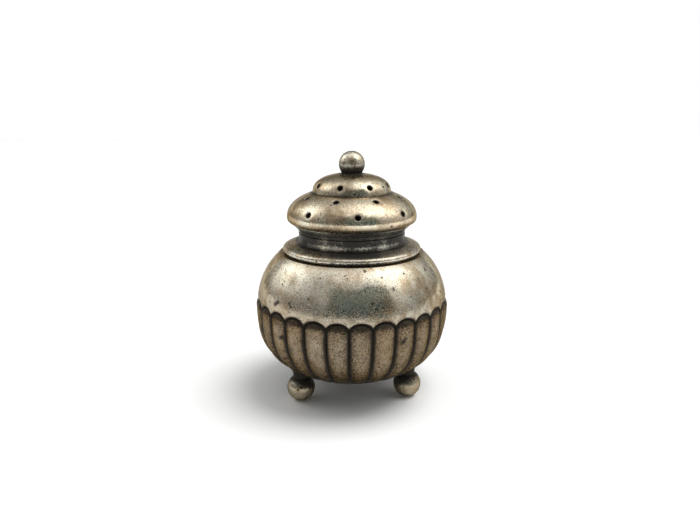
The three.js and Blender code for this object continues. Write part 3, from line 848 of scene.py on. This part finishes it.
# %% Where the holes are, and which way each one faces
hole_rows = [(LOWER_DOME, LOWER_TIER, SIDE_HOLES, 0.0),
             (LOWER_DOME, LOWER_TIER, SHOULDER_HOLES, 0.5),
             (UPPER_DOME, UPPER_TIER, UPPER_HOLES, 0.5)]
hole_place, hole_facing = [], []
for (radius, height, fullness), base, hole_rise, shift in hole_rows:
    turn = (np.arange(HOLES_PER_RING) + shift) * 2 * np.pi / HOLES_PER_RING
    r = float(radius_at(radius, height, fullness, hole_rise))
    lean = np.array([r ** (fullness - 1) / radius ** fullness,
                     hole_rise ** (fullness - 1) / height ** fullness])
    lean /= np.linalg.norm(lean)
    hole_place.append(rings(np.array([[r, base + hole_rise]]), turn)[0])
    hole_facing.append(rings(lean[None], turn)[0])
hole_place, hole_facing = np.vstack(hole_place), np.vstack(hole_facing)
print(f"{len(hole_place)} holes")


# %% Sinking the shell round the holes
FAR = 99.0
HOLE_REACH = 1.4  # further than this along a hole's axis, the hole counts as far away
HOLE_SINK = 0.10


def hole_distance(points):
    """Distance of each point from the nearest hole's axis, near that hole only."""
    nearest = np.full(points.shape[:-1], FAR)
    for place, facing in zip(hole_place, hole_facing):
        offset = points - place
        along = offset @ facing
        beside = np.linalg.norm(offset - along[..., None] * facing, axis=-1)
        nearest = np.minimum(nearest, np.where(np.abs(along) < HOLE_REACH, beside, FAR))
    return nearest


sink = HOLE_SINK * fade(hole_distance(dome_grid) - HOLE_RADIUS, 0.42)
middle = np.array([0, 0, LOWER_TIER])
dome_grid = dome_grid - sink[..., None] * (dome_grid - middle) / np.linalg.norm(
    dome_grid - middle, axis=-1, keepdims=True)
dome = skin("pierced_dome", dome_grid, True)

# %% One punch for every hole, as a single cutting mesh
PUNCH_SIDES = 24
punch_line = np.array([
    [0, -1.7], [HOLE_RADIUS, -1.7], [HOLE_RADIUS, -0.28], [HOLE_RADIUS + 0.05, -0.16],
    [HOLE_RADIUS + 0.16, -0.06], [HOLE_RADIUS + 0.35, 0.02], [1.2, 0.5], [0, 0.5]])
punch_turn = around(PUNCH_SIDES)
punch_rows = len(punch_line) - 2
punch_points, punch_faces = [], []
for number, (place, facing) in enumerate(zip(hole_place, hole_facing)):
    first = np.cross(facing, [0, 0, 1.0])
    first /= np.linalg.norm(first)
    spoke = (np.cos(punch_turn)[:, None] * first
             + np.sin(punch_turn)[:, None] * np.cross(facing, first))
    punch_points += [place + facing * z + r * spoke for r, z in punch_line[1:-1]]
    punch_points += [place + facing * punch_line[[0, -1], 1, None]]
    tail = number * (punch_rows * PUNCH_SIDES + 2) + punch_rows * PUNCH_SIDES
    a = tail + np.arange(-punch_rows * PUNCH_SIDES, 0).reshape(punch_rows, PUNCH_SIDES)
    b = np.roll(a, -1, axis=1)
    punch_faces += np.stack([a[:-1], b[:-1], b[1:], a[1:]], 2).reshape(-1, 4).tolist()
    punch_faces += np.stack([np.full(PUNCH_SIDES, tail), b[0], a[0]], 1).tolist()
    punch_faces += np.stack([np.full(PUNCH_SIDES, tail + 1), a[-1], b[-1]], 1).tolist()
punch_mesh = bpy.data.meshes.new("punches")
punch_mesh.from_pydata(np.vstack(punch_points) * 0.001, [], punch_faces)
punches = bpy.data.objects.new("punches", punch_mesh)
bpy.context.scene.collection.objects.link(punches)

# %% Piercing
cut = dome.modifiers.new("pierce", "BOOLEAN")
cut.operation, cut.solver, cut.object = "DIFFERENCE", "EXACT", punches
pierced = bpy.data.meshes.new_from_object(
    dome.evaluated_get(bpy.context.evaluated_depsgraph_get()))
dome.modifiers.clear()
dome.data = pierced
pierced.name = "pierced_dome"
bpy.data.objects.remove(punches)

# %% [markdown]
# The cut made new points, so the dark layers of the dome are worked out after it, from where each
# point lies. Black keeps to the holes, the step and the corner under the finial. Soil lies on top,
# on the flank and all over the inside, which is known by the way its points face.

# %% Black and soil on the dome
points, facing = np.empty((2, len(pierced.vertices) * 3))
pierced.vertices.foreach_get("co", points)
pierced.vertices.foreach_get("normal", facing)
points, facing = points.reshape(-1, 3) * 1000, facing.reshape(-1, 3)
from_middle = points - middle
outward = np.sum(facing * from_middle, axis=1) / np.linalg.norm(from_middle, axis=1)
within = np.clip(-2 * outward, 0, 1)
radius, level = np.hypot(points[:, 0], points[:, 1]), points[:, 2]
at_hole = fade(np.maximum(hole_distance(points) - HOLE_RADIUS, 0), 0.22)
at_step = fade(np.hypot(radius - UPPER_DOME[0] - 0.2, level - UPPER_TIER), 0.55)
at_top = fade(np.hypot(radius - FINIAL_FOOT, level - FINIAL_SEAT), 0.8)
on_flank = fade(level - RIM - 0.85, 0.6)
on_top = fade(np.hypot(radius, level - FINIAL_SEAT), 6.5)
dome_black = np.max([0.75 * at_hole, 0.72 * at_step, 0.85 * at_top, 0.6 * within], axis=0)
dome_soil = marks(points, LID_CLOUDS) + np.max(
    [0.72 * on_top, 0.7 * at_step, 0.85 * on_flank, within], axis=0)
for key, values in (("tarnish_and_shade", dome_black), ("soil_and_shade", dome_soil)):
    layer = pierced.attributes.new(key, "FLOAT", "POINT")
    layer.data.foreach_set("value", values.astype(np.float32))
dress(dome, "lid", ["lid_dome"], "silver_lid", lid_silver, sharp=50)

# %% [markdown]
# ## Finial
#
# A turned ball on a low foot ring, held by a peg through the dome. Ball, foot and peg could be
# three meshes, but turned as one outline they have no seam. It is the handle of the lid, so its
# sides are bright. Black fills the corner under the ball, and a painted shade darkens the lower
# part of the ball above it.

# %% The finial
foot_top = FINIAL_SEAT + FINIAL_FOOT_HEIGHT
finial_centre = foot_top - FINIAL_SINK + FINIAL_RADIUS
start_angle = np.degrees(np.arcsin((foot_top - finial_centre) / FINIAL_RADIUS))
finial_ball = arc((0, finial_centre), FINIAL_RADIUS, start_angle, 90, 48)
finial_ball[-1, 0] = 0
peg_end = FINIAL_SEAT - DOME_WALL - PEG_OVERHANG
finial_line = outline([0, peg_end], [PEG_RADIUS - 0.1, peg_end], [PEG_RADIUS, peg_end + 0.1],
                      [PEG_RADIUS, FINIAL_SEAT], [FINIAL_FOOT, FINIAL_SEAT],
                      [FINIAL_FOOT, foot_top], finial_ball)
finial = turned("ball_finial", finial_line, closed=False, columns=BALL_COLUMNS, black_at=[
    # black in the corner under the ball, and a wider painted shade on the ball's lower part
    (FINIAL_FOOT, FINIAL_SEAT + 0.1, 0.7, 1.0), (FINIAL_FOOT, FINIAL_SEAT + 0.9, 1.8, 0.85)])
dress(finial, "lid", ["finial_ball"], "silver_lid", finial_silver)

# %% [markdown]
# ## Table and backdrop
#
# The shaker stands on a pale table before a white sheet. The sheet is seen and mirrored, but it
# adds no light of its own to the silver.


# %% A flat stage piece
def sheet_of(name, corners, colour, glows):
    """A four-cornered stage piece, plain or glowing."""
    mesh = bpy.data.meshes.new(name)
    mesh.from_pydata(corners, [], [(0, 1, 2, 3)])
    piece = bpy.data.objects.new(name, mesh)
    bpy.context.scene.collection.objects.link(piece)
    material = bpy.data.materials.new(name)
    material.use_nodes = True
    tree = Tree(material.node_tree)
    if glows:
        shader = tree.add("ShaderNodeEmission", inputs={"Color": colour, "Strength": 1.0})
    else:
        shader = tree.add("ShaderNodeBsdfPrincipled", inputs={
            "Base Color": colour, "Roughness": 0.6, "Specular IOR Level": 0.2})
    tree.add("ShaderNodeOutputMaterial", inputs={"Surface": shader})
    mesh.materials.append(material)
    return piece


def grey(value):
    """A grey, as a colour socket expects it."""
    return paint((value, value, value))


# %% The table and the backdrop, in metres
LEFT, RIGHT, BACK, BOTTOM, TOP = -0.95, 1.25, 1.3, -0.01, 0.4
sheet_of("table", [(-3, -3, 0), (3, -3, 0), (3, 2.0, 0), (-3, 2.0, 0)], grey(0.95), False)
backdrop = sheet_of("backdrop", [(LEFT, BACK, BOTTOM), (RIGHT, BACK, BOTTOM), (RIGHT, BACK, TOP),
                                 (LEFT, BACK, TOP)], grey(1), True)
backdrop.visible_diffuse = False
print(f"backdrop {RIGHT - LEFT:.1f} m wide, {BACK:.1f} m behind the shaker")

# %% [markdown]
# ## Room and lamp
#
# Metal shows its surroundings, so the surroundings are part of the finish. A photographed room
# would do, but a formula of direction can be tuned window by window. The walls are grey, the
# ceiling is pale, two windows stand high on the right and one lower on the left, and a dim, bluish
# side lies behind the camera. A large soft lamp gives the shadow on the table.


# %% Directions in the room
def toward(azimuth, elevation=0.0):
    """Unit vector. Azimuth 0 is the front and 90 the right, in degrees."""
    a, e = np.radians([azimuth, elevation])
    return (float(np.sin(a) * np.cos(e)), float(-np.cos(a) * np.cos(e)), float(np.sin(e)))


room = bpy.data.worlds.new("room")
bpy.context.scene.world = room
room.use_nodes = True
tree = Tree(room.node_tree)
direction = tree.add("ShaderNodeTexCoord", output="Generated")


def along(azimuth, elevation=0.0):
    """Cosine of the angle between where one looks and a direction in the room."""
    return tree.add("ShaderNodeVectorMath", {"operation": "DOT_PRODUCT"},
                    {0: direction, 1: toward(azimuth, elevation)}, 1)


def glow(azimuth, elevation, width):
    """exp((cosine of the angle from the middle of the glow - 1) / width^2), width in radians."""
    return tree.add("ShaderNodeMath", {"operation": "EXPONENT"},
                    {0: (along(azimuth, elevation) - 1) * (1 / np.radians(width) ** 2)})


# %% The dim side, with a ragged edge
height = tree.add("ShaderNodeSeparateXYZ", inputs={0: direction}, output="Z")
ragged = tree.noise(direction, 0.13, 3.0, 0.6, 1.0) - 0.5
ahead, rightward, leftward = along(5), along(95), along(-85)
dim_side = (tree.step(ahead * 0.85 - rightward + ragged * 0.1, -0.02, 0.04)
            * tree.step(ahead * 0.85 + rightward + ragged * 0.3, -0.10, 0.12)
            * (1 - tree.step(height + ragged * 0.2, 0.70, 0.80)))
dim_colour = tree.mix(tree.step(height, 0.1, 0.7),
                      (0.085, 0.115, 0.120, 1), (0.15, 0.165, 0.155, 1))

# %% Walls, ceiling and windows
walls = tree.mix(tree.step(height, 0.0, 0.6), grey(0.34), grey(0.42))
walls = tree.mix(tree.step(height, 0.80, 0.92), walls, grey(0.76))
walls = tree.mix(tree.step(ahead, -0.7, 0.0), grey(0.22), walls)
low_left = tree.step(leftward, 0.3, 0.8) * (1 - tree.step(height, 0.2, 0.5))
walls = tree.mix(low_left, walls, grey(0.2))
walls = tree.mix(dim_side, walls, dim_colour)
windows = glow(108, 53, 23) * 0.9 + glow(75, 54, 13) * 1.1 + glow(-117, 36, 15) * 1.5
windows = windows * (1 - dim_side * 0.85)
light = tree.add("ShaderNodeMix", {"data_type": "RGBA", "blend_type": "ADD"}, {
    0: 1.0, 6: walls, 7: tree.mix(windows, grey(0), (1.0, 1.0, 0.98, 1), clamp=False)}, 2)
background = tree.add("ShaderNodeBackground", inputs={"Color": light, "Strength": 1.0})
tree.add("ShaderNodeOutputWorld", inputs={"Surface": background})
print(f"room of {len(room.node_tree.nodes)} nodes")

# %% The lamp
LAMP_DISTANCE = 3.0  # metres
lamp_target = Vector((0, 0, 0.02))
lamp_data = bpy.data.lights.new("window lamp", "AREA")
lamp_data.shape = "DISK"
lamp_data.size = 2.1
lamp_data.energy = 54
lamp = bpy.data.objects.new("window lamp", lamp_data)
lamp.visible_glossy = False  # the room's own window is what the silver mirrors
bpy.context.scene.collection.objects.link(lamp)
lamp.location = lamp_target + LAMP_DISTANCE * Vector(toward(85, 69))
lamp.rotation_euler = (lamp_target - lamp.location).to_track_quat("-Z", "Y").to_euler()
print(f"lamp of {lamp_data.energy:.0f} W, {lamp_data.size:.1f} m across")
